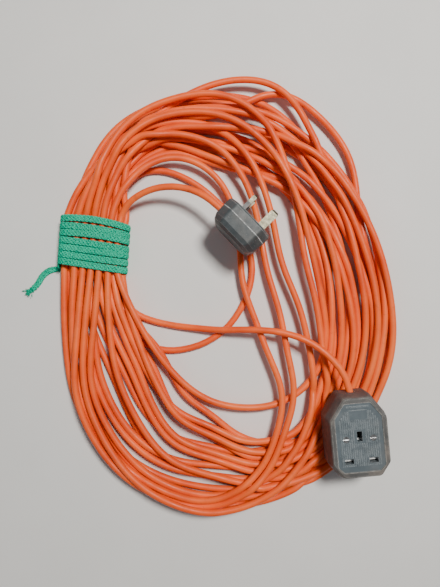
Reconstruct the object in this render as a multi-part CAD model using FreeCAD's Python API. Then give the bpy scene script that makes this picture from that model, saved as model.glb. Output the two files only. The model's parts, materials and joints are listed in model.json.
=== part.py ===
import FreeCAD, Part
import math
import os
from FreeCAD import Vector

# Extension lead: a 20 m flexible cable wound into a loose hank and tied with a cord,
# with a 13 A three-pin plug on one end and a rubber trailing socket on the other.
# Millimetres. The origin is on the ground, under the middle of the box that holds the
# socket, the plug and the tie. +Z is up, and the socket's long axis lies along Y.

# ---- driving dimensions: cable ----
CABLE_DIAMETER = 6.5
CABLE_RADIUS = CABLE_DIAMETER / 2
CORE_RADIUS = 1.1

# ---- driving dimensions: plug (local x across the live and neutral pins, y towards the
# earth pin, z out along the pins; the face that the pins come out of is z = 0) ----
PLUG_HALF = 25.0
PLUG_CORNER = 9.0
PLUG_BASE_DEPTH = 9.0
PLUG_DEPTH = 26.0
PLUG_WALL = 2.5
PLUG_CABLE_Z = -12.0
PLUG_SHEATH_END = -13.8
PLUG_GRIP_Y = -18.3
PIN_SPACING = 22.23
LIVE_PIN = (6.35, 3.95, 17.7)
EARTH_PIN = (3.95, 8.0, 22.7)
SLEEVE_LENGTH = 9.0
SLEEVE_WALL = 0.45
EARTH_PIN_Y = 12.0
LIVE_PIN_Y = EARTH_PIN_Y - PIN_SPACING
FUSE_RADIUS = 3.15
FUSE_LENGTH = 25.4
FUSE_X = -17.4
FUSE_Z = -17.6
PLUG_FACE_CENTRE = Vector(40.0, 110.3, 38.0)
PLUG_PIN_HEADING = 39.0

# ---- driving dimensions: socket (local x across, y towards the cable, z out of the face) ----
SOCKET_CENTRE = Vector(120.5, -96.5, 13.0)
SOCKET_HALF_WIDTH = 28.0
SOCKET_HALF_LENGTH = 38.0
SOCKET_HEIGHT = 38.0
PLATE_HALF_WIDTH = 21.4
PLATE_HALF_LENGTH = 31.0
PLATE_TOP = 37.2
PLATE_THICKNESS = 6.0
FIT_GAP = 0.1
CAVITY_FLOOR = 4.0
REAR_TOP = 27.6
APERTURE_LIVE = (8.2, 4.8)
APERTURE_EARTH = (4.8, 9.2)
APERTURE_EARTH_Y = 1.0
APERTURE_LIVE_Y = APERTURE_EARTH_Y - PIN_SPACING
SOCKET_CABLE_Z = 19.0
SOCKET_SHEATH_END = 21.5
SOCKET_CLAMP_Y = 25.3
SHUTTER_TRAVEL = 6.0
SHUTTER_THICKNESS = 2.6
SHUTTER_GAP = 0.35
SHUTTER_END = -22.7
SPRING_NOTCH_WIDTH = 7.2
SPRING_NOTCH_DEPTH = 4.0
COVER_SCREW_X = 12.3
COVER_SCREW_Y = -1.2

# ---- driving dimensions: tie ----
TIE_CENTRE = Vector(-109.0, 104.0, 0)
TIE_LEAN = 9.0
TIE_WRAPS = 7
TIE_PITCH = 7.2
TIE_GAP = 0.3
TIE_WIDTH = 72.0
TIE_HEIGHT = 22.5
TIE_THICKNESS = 2.8
TIE_CORD_RADIUS = 2.3
NECK_CLEARANCE = 0.4

# ---- routes of the loose stretches, chosen by hand ----
PLUG_LEAD = [
    (-80, 127, 15.0), (-71, 138, 20.5), (-58, 146, 25.0), (-41, 150, 28.5), (-22, 148.5, 31.0),
    (-4, 140.5, 34.5),
]
SOCKET_LEAD = [
    (-84, 31, 10.0), (-64, 23, 9.5), (-42, 16.5, 6.0), (-18, 12, 7.5), (3, 8.5, 11.5), (24, 7.5, 16.0),
    (46, 5.5, 20.0), (68, 0.5, 22.5), (88, -9, 25.5), (105, -24, 29.0),
]
INNER_TURN = [
    (-84, 172, 9.0), (-64, 184, 8.0), (-40, 185, 5.0), (-15, 172, 3.6), (5, 150, 3.5), (20, 128, 3.5),
    (33, 102, 3.5), (41, 76, 3.6), (39, 52, 3.5), (28, 29, 3.5), (10, 8, 3.5), (-15, -5, 3.8),
    (-42, -9, 5.0), (-63, -5, 8.0), (-80, 8, 9.0),
]
TIE_TAIL = [
    (-147.2, 86, 3.2), (-155, 82.8, 2.9), (-163, 81.5, 2.9), (-170, 77, 2.9), (-175, 70, 2.9),
    (-182, 65, 2.9),
]

# Outline of the hank, clockwise from the tie: outer edge, inner edge, underside, top. An underside
# below zero is cut off level with the ground, so that the hank lies on a true flat.
HANK_STATIONS = [
    ((-110, 192), (-66, 160), 1.5, 18.0),
    ((-82, 222), (-50, 172), -0.1, 16.0),
    ((-48, 238), (-30, 178), -0.1, 15.0),
    ((-12, 247), (-8, 182), -0.1, 14.0),
    ((28, 252), (12, 161), -0.1, 13.0),
    ((68, 250), (25, 140), -0.1, 12.8),
    ((104, 222), (34, 119), -0.1, 12.6),
    ((140, 175), (42, 96), -0.1, 12.6),
    ((162, 130), (46, 75), -0.1, 12.6),
    ((176, 82), (47, 51), -0.1, 12.6),
    ((182, 30), (47, 24), -0.1, 12.6),
    ((177, -12), (47, -8), -0.1, 12.6),
    ((164, -54), (49, -34), -0.1, 12.6),
    ((142, -94), (44, -56), -0.1, 12.6),
    ((108, -134), (33, -72), -0.1, 12.6),
    ((64, -165), (17, -82), -0.1, 13.0),
    ((14, -177), (-2, -87), -0.1, 14.0),
    ((-38, -168), (-20, -86), -0.1, 15.0),
    ((-84, -150), (-35, -76), -0.1, 16.0),
    ((-122, -116), (-46, -48), -0.1, 17.0),
    ((-145, -70), (-57, -18), -0.1, 18.0),
    ((-156, -20), (-68, 14), 0.2, 18.5),
    ((-154, 38), (-77, 44), 1.5, 19.0),
]


def box(x, y, z, cx=0.0, cy=0.0, low=0.0):
    """A block x by y by z, centred on (cx, cy), standing on z = low."""
    return Part.makeBox(x, y, z, Vector(cx - x / 2, cy - y / 2, low))


def rod(radius, length, x, y, z, axis=Vector(0, 0, 1)):
    """A cylinder that starts at (x, y, z) and runs along axis."""
    return Part.makeCylinder(radius, length, Vector(x, y, z), axis)


def rounded_wire(corners, radius, z):
    """A closed outline through corners, each rounded by an arc of the given radius."""
    pieces = []
    count = len(corners)
    joins = []
    for i in range(count):
        here = Vector(corners[i][0], corners[i][1], z)
        before = (Vector(corners[i - 1][0], corners[i - 1][1], z) - here).normalize()
        after = (Vector(corners[(i + 1) % count][0], corners[(i + 1) % count][1], z) - here).normalize()
        half = before.getAngle(after) / 2
        setback = radius / math.tan(half)
        middle = (before + after).normalize()
        bulge = radius / math.sin(half) - radius
        joins.append((here + before * setback, here + middle * bulge, here + after * setback))
    for i in range(count):
        start, middle, end = joins[i]
        pieces.append(Part.Arc(start, middle, end).toShape())
        pieces.append(Part.LineSegment(end, joins[(i + 1) % count][0]).toShape())
    return Part.Wire(pieces)


def shoulder_outline(half_width, half_length, top, bottom):
    """Corners of an oblong with cut corners: top and bottom are each a cut's (x, y) size."""
    right = [
        (half_width - bottom[0], -half_length), (half_width, -half_length + bottom[1]),
        (half_width, half_length - top[1]), (half_width - top[0], half_length),
    ]
    left = [(-x, y) for x, y in reversed(right)]
    return right + left


def layered(outlines, radius):
    """A solid through outlines given as (corners, z), joined by straight walls."""
    wires = [rounded_wire(corners, radius, z) for corners, z in outlines]
    return Part.makeLoft(wires, True, True)


def prism(corners, radius, low, high):
    """An outline extruded from z = low to z = high."""
    return Part.Face(rounded_wire(corners, radius, low)).extrude(Vector(0, 0, high - low))


def route_wire(points, name):
    """Straight runs joined by tangent arcs, each as large as its two runs allow."""
    nodes = [Vector(*p) for p in points]
    edges = []
    start = nodes[0]
    radii = []
    for i in range(1, len(nodes) - 1):
        back = nodes[i - 1] - nodes[i]
        ahead = nodes[i + 1] - nodes[i]
        shorter = min(back.Length, ahead.Length)
        back.normalize()
        ahead.normalize()
        half_turn = (math.pi - back.getAngle(ahead)) / 2
        setback = 0.45 * shorter
        radius = setback / math.tan(half_turn)
        radii.append(round(radius, 1))
        middle = nodes[i] + (back + ahead).normalize() * (radius / math.cos(half_turn) - radius)
        arc_start = nodes[i] + back * setback
        arc_end = nodes[i] + ahead * setback
        edges.append(Part.LineSegment(start, arc_start).toShape())
        edges.append(Part.Arc(arc_start, middle, arc_end).toShape())
        start = arc_end
    edges.append(Part.LineSegment(start, nodes[-1]).toShape())
    if name:
        print(name, "smallest radius", min(radii), "radii", radii)
    return Part.Wire(edges)


def tube(points, radius, name=""):
    """A round cable of the given radius along a route."""
    path = route_wire(points, name)
    first = Vector(*points[1]) - Vector(*points[0])
    ring = Part.Wire([Part.Circle(Vector(*points[0]), first, radius).toShape()])
    solid = path.makePipeShell([ring], True, False)
    if name:
        expected = math.pi * radius ** 2 * path.Length
        print(name, "length", round(path.Length, 1), "volume ratio", round(solid.Volume / expected, 4))
    return solid


def slotted_screw(head_radius, head_height, shank_radius, length, slot=0.9):
    """A screw along -Z: the head's top is z = 0, with a driver slot cut across it."""
    head = rod(head_radius, head_height, 0, 0, -head_height)
    shank = rod(shank_radius, length, 0, 0, -head_height - length)
    return head.fuse(shank).cut(box(2 * head_radius + 1, slot, head_height * 0.45, low=-head_height * 0.45))


def moved(shape, x, y, z):
    """The shape, shifted."""
    shape = shape.copy()
    shape.translate(Vector(x, y, z))
    return shape


# ------------------------------------------------------------------ plug, local frame

def plug_corners(half):
    """Corners of the plug's outline."""
    cut = PLUG_CORNER * half / PLUG_HALF
    return shoulder_outline(half, half, (cut, cut), (cut, cut))


def plug_cable_bore():
    """The hole that the cable comes in through."""
    return rod(CABLE_RADIUS + FIT_GAP, 12, 0, -PLUG_HALF - 4, PLUG_CABLE_Z, Vector(0, 1, 0))


def plug_base():
    """The tray that carries the pins."""
    outer = layered([(plug_corners(PLUG_HALF), -PLUG_BASE_DEPTH), (plug_corners(PLUG_HALF), -2.0),
                     (plug_corners(PLUG_HALF - 1.2), 0)], 4.0)
    inside = prism(plug_corners(PLUG_HALF - PLUG_WALL), 2.5, -PLUG_BASE_DEPTH - 1, -PLUG_WALL)
    base = outer.cut(inside)
    for x in (-7.8, 7.8):
        base = base.fuse(rod(2.9, 12.6, x, PLUG_GRIP_Y, -15.1))
        base = base.cut(rod(1.3, 9, x, PLUG_GRIP_Y, -15.2))
    for side in (-1, 1):
        base = base.cut(box(LIVE_PIN[0] + 0.1, LIVE_PIN[1] + 0.1, 5, side * PIN_SPACING / 2, LIVE_PIN_Y, -4))
    base = base.cut(box(EARTH_PIN[0] + 0.1, EARTH_PIN[1] + 0.1, 5, 0, EARTH_PIN_Y, -4))
    base = base.cut(rod(1.9, 6, 0, -0.5, -5)).cut(rod(3.5, 3, 0, -0.5, -1.6))
    return base.cut(plug_cable_bore())


def plug_cover():
    """The domed back that takes the strain of the hand."""
    outer = layered([(plug_corners(PLUG_HALF), -PLUG_BASE_DEPTH), (plug_corners(PLUG_HALF - 0.6), -19.0),
                     (plug_corners(PLUG_HALF - 2.6), -23.4), (plug_corners(PLUG_HALF - 6.5), -PLUG_DEPTH)], 4.0)
    inside = layered([(plug_corners(PLUG_HALF - PLUG_WALL), -PLUG_BASE_DEPTH + 1),
                      (plug_corners(PLUG_HALF - PLUG_WALL - 0.6), -19.0),
                      (plug_corners(PLUG_HALF - PLUG_WALL - 3.4), -PLUG_DEPTH + PLUG_WALL)], 2.5)
    cover = outer.cut(inside)
    boss = rod(3.4, PLUG_DEPTH - 14.0, 0, -0.5, -PLUG_DEPTH + 1.0)
    cover = cover.fuse(boss).cut(rod(1.6, 9, 0, -0.5, -22.0))
    return cover.cut(plug_cable_bore())


def earth_pin():
    """The long earth pin and the terminal block on its inner end."""
    x, y, length = EARTH_PIN
    shaft = box(x, y, length - 2 + 4, 0, EARTH_PIN_Y, -4)
    tip_low = rounded_wire([(x / 2, -y / 2), (x / 2, y / 2), (-x / 2, y / 2), (-x / 2, -y / 2)], 0.2, length - 2)
    tip_high = rounded_wire([(x / 4, -y / 3), (x / 4, y / 3), (-x / 4, y / 3), (-x / 4, -y / 3)], 0.2, length)
    tip = moved(Part.makeLoft([tip_low, tip_high], True, True), 0, EARTH_PIN_Y, 0)
    block = box(7.0, 8.0, 8.0, 0, EARTH_PIN_Y, -12)
    pin = shaft.fuse(tip).fuse(block).cut(rod(1.5, 10, 0, EARTH_PIN_Y, -13))
    return pin.cut(rod(1.3, 7, 0, EARTH_PIN_Y - 5, -8.5, Vector(0, 1, 0)))


def line_pin(side):
    """A live (side -1) or neutral (side 1) pin with a neck that its sleeve sits on."""
    x, y, length = LIVE_PIN
    centre = side * PIN_SPACING / 2
    neck = box(x - 2 * SLEEVE_WALL, y - 2 * SLEEVE_WALL, SLEEVE_LENGTH + 5, 0, 0, -5)
    shaft = box(x, y, length - 1.5 - SLEEVE_LENGTH, 0, 0, SLEEVE_LENGTH)
    tip_low = rounded_wire([(x / 2, -y / 2), (x / 2, y / 2), (-x / 2, y / 2), (-x / 2, -y / 2)], 0.2, length - 1.5)
    tip_high = rounded_wire([(x / 3, -y / 4), (x / 3, y / 4), (-x / 3, y / 4), (-x / 3, -y / 4)], 0.2, length)
    tip = Part.makeLoft([tip_low, tip_high], True, True)
    block = box(7.4, 7.4, 7.5, 0, 0, -12)
    pin = neck.fuse(shaft).fuse(tip).fuse(block).cut(rod(1.5, 9, 0, 0, -12.5))
    pin = pin.cut(rod(1.3, 6, 0, 5, -8.5, Vector(0, -1, 0)))
    return moved(pin, centre, LIVE_PIN_Y, 0)


def pin_sleeves():
    """Insulating sleeves on the live and neutral pins."""
    x, y, _ = LIVE_PIN
    rings = []
    for side in (-1, 1):
        ring = box(x, y, SLEEVE_LENGTH + 2.4, 0, 0, -2.4)
        ring = ring.cut(box(x - 2 * SLEEVE_WALL, y - 2 * SLEEVE_WALL, SLEEVE_LENGTH + 4, 0, 0, -3))
        rings.append(moved(ring, side * PIN_SPACING / 2, LIVE_PIN_Y, 0))
    return Part.makeCompound(rings)


def fuse_barrel():
    """The ceramic body of the cartridge fuse."""
    return rod(FUSE_RADIUS - 0.3, FUSE_LENGTH - 1.0, FUSE_X, -FUSE_LENGTH / 2 + 0.5, FUSE_Z, Vector(0, 1, 0))


def fuse_caps():
    """The two metal end caps of the fuse."""
    caps = []
    for side in (-1, 1):
        length = 5.6
        start = side * FUSE_LENGTH / 2 - (length if side > 0 else 0)
        cap = rod(FUSE_RADIUS, length, FUSE_X, start, FUSE_Z, Vector(0, 1, 0))
        caps.append(cap.cut(fuse_barrel()))
    return Part.makeCompound(caps)


def fuse_clips():
    """Sprung saddles that hold the fuse caps, open towards the back."""
    clips = []
    for y in (-10.0, 10.0):
        ring = rod(FUSE_RADIUS + 0.75, 4.0, FUSE_X, y - 2, FUSE_Z, Vector(0, 1, 0))
        ring = ring.cut(rod(FUSE_RADIUS + 0.05, 6.0, FUSE_X, y - 3, FUSE_Z, Vector(0, 1, 0)))
        ring = ring.cut(box(12, 8, 6, FUSE_X, y, FUSE_Z - 7.4))
        stem = box(3.2, 4.0, -PLUG_WALL - FUSE_Z - FUSE_RADIUS - 0.4, FUSE_X, y, FUSE_Z + FUSE_RADIUS + 0.4)
        clips.append(ring.fuse(stem))
    return Part.makeCompound(clips)


def plug_terminal_screws():
    """Three clamping screws, one in each terminal block."""
    screw = slotted_screw(2.4, 1.6, 1.45, 4.0, 0.6)
    screw.rotate(Vector(0, 0, 0), Vector(1, 0, 0), 180)
    places = [(0, EARTH_PIN_Y), (-PIN_SPACING / 2, LIVE_PIN_Y), (PIN_SPACING / 2, LIVE_PIN_Y)]
    return Part.makeCompound([moved(screw, x, y, -13.6) for x, y in places])


def plug_cord_grip():
    """The bar that clamps the cable's sheath."""
    bar = box(21.4, 6.0, 3.4, 0, PLUG_GRIP_Y, -19.2)
    for x in (-7.8, 7.8):
        bar = bar.cut(rod(1.7, 6, x, PLUG_GRIP_Y, -20))
    saddle = box(8.0, 6.0, 1.2, 0, PLUG_GRIP_Y, -15.8)
    bar = bar.fuse(saddle)
    return bar.cut(rod(CABLE_RADIUS + 0.02, 30, 0, -30, PLUG_CABLE_Z, Vector(0, 1, 0)))


def plug_cord_grip_screws():
    """Two screws through the cord grip."""
    screw = slotted_screw(2.5, 1.6, 1.25, 8.0, 0.6)
    screw.rotate(Vector(0, 0, 0), Vector(1, 0, 0), 180)
    return Part.makeCompound([moved(screw, x, PLUG_GRIP_Y, -20.8) for x in (-7.8, 7.8)])


def plug_cover_screw():
    """The one screw, between the pins, that holds the cover on."""
    return moved(slotted_screw(3.2, 1.4, 1.55, 18.0), 0, -0.5, -0.2)


def plug_cores():
    """The three insulated cores from the cut sheath to their terminals."""
    start = PLUG_SHEATH_END + 0.5
    z = PLUG_CABLE_Z
    routes = {
        "plug_live_core": [(-1.4, start, z + 1), (-3.6, -8, z - 1), (-6.5, -2.5, z - 0.5),
                           (-10, -2.8, z + 2.2), (-PIN_SPACING / 2, LIVE_PIN_Y + 3.8, z + 3.5)],
        "plug_neutral_core": [(1.4, start, z + 1), (3.6, -8, z - 1), (6.5, -2.5, z - 0.5),
                              (10, -2.8, z + 2.2), (PIN_SPACING / 2, LIVE_PIN_Y + 3.8, z + 3.5)],
        "plug_earth_core": [(0, start, z - 1.6), (1.4, -9, z - 4.2), (5.6, -4, z - 4.6), (6.0, 2, z - 3),
                            (2.6, 5.2, z + 1.5), (0, EARTH_PIN_Y - 4.4, z + 3.5)],
    }
    return {name: tube(points, CORE_RADIUS) for name, points in routes.items()}


def plug_parts():
    """Every piece of the plug in the plug's own frame."""
    parts = {
        "plug_base": plug_base(),
        "plug_cover": plug_cover(),
        "plug_earth_pin": earth_pin(),
        "plug_live_pin": line_pin(-1),
        "plug_neutral_pin": line_pin(1),
        "plug_pin_sleeves": pin_sleeves(),
        "plug_fuse_barrel": fuse_barrel(),
        "plug_fuse_caps": fuse_caps(),
        "plug_fuse_clips": fuse_clips(),
        "plug_terminal_screws": plug_terminal_screws(),
        "plug_cord_grip": plug_cord_grip(),
        "plug_cord_grip_screws": plug_cord_grip_screws(),
        "plug_cover_screw": plug_cover_screw(),
    }
    parts.update(plug_cores())
    return parts


def plug_placement():
    """Stands the plug on its side: local x goes up, and the pins point along the heading."""
    heading = math.radians(PLUG_PIN_HEADING)
    out = Vector(math.cos(heading), math.sin(heading), 0)
    along = Vector(math.sin(heading), -math.cos(heading), 0)
    up = Vector(0, 0, 1)
    matrix = FreeCAD.Matrix(up.x, along.x, out.x, PLUG_FACE_CENTRE.x,
                            up.y, along.y, out.y, PLUG_FACE_CENTRE.y,
                            up.z, along.z, out.z, PLUG_FACE_CENTRE.z,
                            0, 0, 0, 1)
    return matrix


# ------------------------------------------------------------------ socket, local frame

def plate_corners(inset=0.0):
    """Corners of the socket's face plate, and of the pocket it sits in."""
    return shoulder_outline(PLATE_HALF_WIDTH - inset, PLATE_HALF_LENGTH - inset, (9.5, 13.0), (5.0, 5.0))


def socket_cable_bore(radius):
    """The hole in the cable end."""
    return rod(radius, 20, 0, SOCKET_HALF_LENGTH + 4, SOCKET_CABLE_Z, Vector(0, -1, 0))


def socket_jacket():
    """The thick rubber boot round the socket."""
    levels = [(4.0, 0.0), (1.0, 3.0), (0.0, 8.0), (0.0, 26.0), (1.2, 34.0), (2.0, 37.0), (3.0, SOCKET_HEIGHT)]
    outlines = []
    for inset, z in levels:
        outlines.append((shoulder_outline(SOCKET_HALF_WIDTH - inset, SOCKET_HALF_LENGTH - inset,
                                          (14.0, 20.0), (9.0, 12.0)), z))
    outer = layered(outlines, 5.0)
    pocket = prism(plate_corners(), 2.0, CAVITY_FLOOR, SOCKET_HEIGHT + 1)
    return outer.cut(pocket).cut(socket_cable_bore(CABLE_RADIUS + FIT_GAP))


def apertures(low, high):
    """The three pin apertures as blocks."""
    cut = box(APERTURE_EARTH[0], APERTURE_EARTH[1], high - low, 0, APERTURE_EARTH_Y, low)
    for side in (-1, 1):
        cut = cut.fuse(box(APERTURE_LIVE[0], APERTURE_LIVE[1], high - low,
                           side * PIN_SPACING / 2, APERTURE_LIVE_Y, low))
    return cut


def face_ribs():
    """Fine ribs down the face plate, clear of the blank pad and the apertures."""
    pitch = 1.9
    ribs = []
    for i in range(-9, 10):
        x = i * pitch
        top = 15.5 if abs(x) < 9.0 else 24.0 - max(0.0, abs(x) - 11.0) * 1.3
        ribs.append(box(0.8, top + 25.5, 0.5, x, (top - 25.5) / 2, PLATE_TOP))
    ribs = ribs[0].multiFuse(ribs[1:])
    clear = box(APERTURE_EARTH[0] + 4.4, APERTURE_EARTH[1] + 3.6, 3, 0, APERTURE_EARTH_Y, PLATE_TOP - 1)
    for side in (-1, 1):
        clear = clear.fuse(box(APERTURE_LIVE[0] + 2.8, APERTURE_LIVE[1] + 2.4, 3,
                               side * PIN_SPACING / 2, APERTURE_LIVE_Y, PLATE_TOP - 1))
        clear = clear.fuse(rod(4.1, 3, side * COVER_SCREW_X, COVER_SCREW_Y, PLATE_TOP - 1))
    return ribs.cut(clear)


def socket_front_plate():
    """The moulded face with its apertures, ribs and a blank raised pad."""
    plate = prism(plate_corners(FIT_GAP), 2.0, PLATE_TOP - PLATE_THICKNESS, PLATE_TOP)
    plate = plate.fuse(box(17.0, 8.5, 0.6, 0, 20.6, PLATE_TOP)).fuse(face_ribs())
    plate = plate.fuse(box(20.0, 1.1, 0.6, 0, 28.0, PLATE_TOP))
    plate = plate.cut(apertures(PLATE_TOP - PLATE_THICKNESS - 1, PLATE_TOP + 2))
    for side in (-1, 1):
        x = side * COVER_SCREW_X
        plate = plate.cut(rod(3.0, 4, x, COVER_SCREW_Y, PLATE_TOP - 1.9))
        plate = plate.cut(rod(1.9, PLATE_THICKNESS + 2, x, COVER_SCREW_Y, PLATE_TOP - PLATE_THICKNESS - 1))
    rail_low = PLATE_TOP - PLATE_THICKNESS - SHUTTER_THICKNESS - 2 * SHUTTER_GAP
    for side in (-1, 1):
        plate = plate.fuse(box(2.0, 43.0, PLATE_TOP - PLATE_THICKNESS - rail_low, side * 18.3, -6.5, rail_low))
    return plate


def socket_insert_rear():
    """The tray behind the plate that carries the contacts."""
    outer = prism(plate_corners(FIT_GAP), 2.0, CAVITY_FLOOR + FIT_GAP, REAR_TOP)
    inside = prism(plate_corners(2.2), 1.5, CAVITY_FLOOR + 2.2, REAR_TOP + 1)
    tray = outer.cut(inside)
    for side in (-1, 1):
        x = side * COVER_SCREW_X
        tray = tray.fuse(rod(3.0, REAR_TOP - 5.5, x, COVER_SCREW_Y, 5.5))
        tray = tray.cut(rod(1.5, 14, x, COVER_SCREW_Y, REAR_TOP - 13))
        tray = tray.fuse(rod(2.8, 10.0, side * 7.0, SOCKET_CLAMP_Y, 5.5))
        tray = tray.cut(rod(1.3, 8, side * 7.0, SOCKET_CLAMP_Y, 8.5))
    tray = tray.fuse(box(9.0, 1.4, 14.0, 0, -10.0, 5.5))
    return tray.cut(socket_cable_bore(CABLE_RADIUS + FIT_GAP))


def contact(width, gap, height, bore_x, bore_y):
    """A folded brass contact with a terminal block beside it, standing on z = 0."""
    outer = box(width, gap + 2.4, height)
    clip = outer.cut(box(width + 2, gap, height, low=1.2))
    block = box(7.0, 6.6, 8.0, bore_x, bore_y)
    return clip.fuse(block).cut(rod(1.5, 7, bore_x, bore_y, 3.0))


def socket_contacts():
    """Earth, live and neutral contacts on the tray's floor."""
    floor = CAVITY_FLOOR + 2.4
    live = moved(contact(5.6, 4.2, 17.0, 0, 6.4), PIN_SPACING / 2, APERTURE_LIVE_Y, floor)
    neutral = moved(contact(5.6, 4.2, 17.0, 0, 6.4), -PIN_SPACING / 2, APERTURE_LIVE_Y, floor)
    earth = box(6.8, 7.2, 20.0).cut(box(4.2, 9.0, 20.0, low=1.2))
    earth = earth.fuse(box(7.0, 6.6, 8.0, 0, 6.8)).cut(rod(1.5, 7, 0, 6.8, 3.0))
    return {
        "socket_live_contact": live,
        "socket_neutral_contact": neutral,
        "socket_earth_contact": moved(earth, 0, APERTURE_EARTH_Y, floor),
    }


def socket_terminal_screws():
    """Three clamping screws, one in each contact's block."""
    screw = slotted_screw(2.4, 1.6, 1.45, 4.0, 0.6)
    height = CAVITY_FLOOR + 2.4 + 8.0 + 1.6
    places = [(PIN_SPACING / 2, APERTURE_LIVE_Y + 6.4), (-PIN_SPACING / 2, APERTURE_LIVE_Y + 6.4),
              (0, APERTURE_EARTH_Y + 6.8)]
    return Part.makeCompound([moved(screw, x, y, height) for x, y in places])


def socket_cover_screws():
    """The two bright screws in the face."""
    screw = slotted_screw(2.8, 1.7, 1.45, 12.5)
    return Part.makeCompound([moved(screw, side * COVER_SCREW_X, COVER_SCREW_Y, PLATE_TOP - 0.2)
                              for side in (-1, 1)])


def socket_cord_clamp():
    """The bar that clamps the cable's sheath inside the socket."""
    bar = box(19.0, 5.6, 3.2, 0, SOCKET_CLAMP_Y, 22.4)
    for side in (-1, 1):
        bar = bar.cut(rod(1.7, 5, side * 7.0, SOCKET_CLAMP_Y, 21.5))
    return bar.cut(rod(CABLE_RADIUS + 0.02, 20, 0, 12, SOCKET_CABLE_Z, Vector(0, 1, 0)))


def socket_cord_clamp_screws():
    """Two screws through the cord clamp."""
    screw = slotted_screw(2.5, 1.4, 1.25, 13.0, 0.6)
    return Part.makeCompound([moved(screw, side * 7.0, SOCKET_CLAMP_Y, 27.0) for side in (-1, 1)])


def socket_shutter():
    """The sliding shutter: two blades shut the live and neutral apertures; a window over the
    earth contact has the sloped edge that the earth pin pushes, and a notch in the end takes
    the spring."""
    low = PLATE_TOP - PLATE_THICKNESS - SHUTTER_GAP - SHUTTER_THICKNESS
    body = box(32.0, 28.5, SHUTTER_THICKNESS, 0, -8.45, low)
    window = box(6.4, 12.0, 4, 0, 0.6, low - 1)
    notch = box(SPRING_NOTCH_WIDTH, SPRING_NOTCH_DEPTH, 4, 0, SHUTTER_END + SPRING_NOTCH_DEPTH / 2, low - 1)
    slots = window.fuse(notch)
    for side in (-1, 1):
        slot = box(6.4, 6.4 + SHUTTER_TRAVEL, 4, side * COVER_SCREW_X, COVER_SCREW_Y + SHUTTER_TRAVEL / 2, low - 1)
        window_live = box(APERTURE_LIVE[0] + 0.8, 5.2, 4,
                          side * PIN_SPACING / 2, APERTURE_LIVE_Y + SHUTTER_TRAVEL - 0.2, low - 1)
        slots = slots.fuse(slot).fuse(window_live)
    body = body.cut(slots)
    ramp = Part.Face(Part.makePolygon([Vector(0, -5.4, low), Vector(0, -5.4, low + SHUTTER_THICKNESS),
                                       Vector(0, -3.0, low), Vector(0, -5.4, low)])).extrude(Vector(6.4, 0, 0))
    return body.fuse(moved(ramp, -3.2, 0, 0))


def shutter_spring():
    """A folded steel strip between the shutter's notch and the plate's end wall."""
    low = PLATE_TOP - PLATE_THICKNESS - SHUTTER_GAP - SHUTTER_THICKNESS + 0.3
    half = 3.2
    folds = 7
    start = SHUTTER_END + SPRING_NOTCH_DEPTH - 0.3
    step = 1.37
    thickness = 0.35
    strips = []
    for i in range(folds + 1):
        strips.append(box(2 * half, thickness, 2.0, 0, start - i * step, low))
    for i in range(folds):
        side = 1 if i % 2 else -1
        strips.append(box(thickness, step + thickness, 2.0, side * (half - thickness / 2),
                          start - (i + 0.5) * step, low))
    return strips[0].multiFuse(strips[1:]).removeSplitter()


def socket_cores():
    """The three insulated cores from the cut sheath to their terminals."""
    z = SOCKET_CABLE_Z
    start = SOCKET_SHEATH_END - 0.6
    block_z = CAVITY_FLOOR + 2.4 + 5.0
    routes = {
        "socket_earth_core": [(0, start, z - 1.9), (0.6, start - 4, z - 4.5), (0, 15.5, block_z + 1.6),
                              (0, APERTURE_EARTH_Y + 10.5, block_z)],
    }
    for name, side in (("socket_live_core", 1), ("socket_neutral_core", -1)):
        routes[name] = [
            (side * 1.6, start, z - 1), (side * 5.2, 17.0, z - 1.5), (side * 7.0, 9.5, z - 3.2),
            (side * 7.4, 1.5, z - 5.2), (side * 8.4, -5.5, z - 6.8),
            (side * PIN_SPACING / 2, APERTURE_LIVE_Y + 10.2, block_z),
        ]
    return {name: tube(points, CORE_RADIUS) for name, points in routes.items()}


def socket_parts():
    """Every piece of the socket in the socket's own frame."""
    parts = {
        "socket_jacket": socket_jacket(),
        "socket_front_plate": socket_front_plate(),
        "socket_insert_rear": socket_insert_rear(),
        "socket_shutter": socket_shutter(),
        "socket_shutter_spring": shutter_spring(),
        "socket_terminal_screws": socket_terminal_screws(),
        "socket_cover_screws": socket_cover_screws(),
        "socket_cord_clamp": socket_cord_clamp(),
        "socket_cord_clamp_screws": socket_cord_clamp_screws(),
    }
    parts.update(socket_contacts())
    parts.update(socket_cores())
    return parts


# ------------------------------------------------------------------ cable and tie

def tie_axes():
    """Directions across the tied neck (towards the outside) and along it."""
    lean = math.radians(TIE_LEAN)
    along = Vector(math.sin(lean), math.cos(lean), 0)
    outward = Vector(-math.cos(lean), math.sin(lean), 0)
    return outward, along


def neck_stations():
    """The two ends of the straight neck that the tie holds."""
    outward, along = tie_axes()
    half_length = TIE_WRAPS * TIE_PITCH / 2 + 2.0
    half_width = TIE_WIDTH / 2 - TIE_THICKNESS - NECK_CLEARANCE
    low = TIE_THICKNESS + NECK_CLEARANCE
    high = TIE_HEIGHT - TIE_THICKNESS - NECK_CLEARANCE
    stations = []
    for end in (-1, 1):
        centre = TIE_CENTRE + along * (end * half_length)
        outer = centre + outward * half_width
        inner = centre - outward * half_width
        stations.append(((outer.x, outer.y), (inner.x, inner.y), low, high))
    return stations


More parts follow.
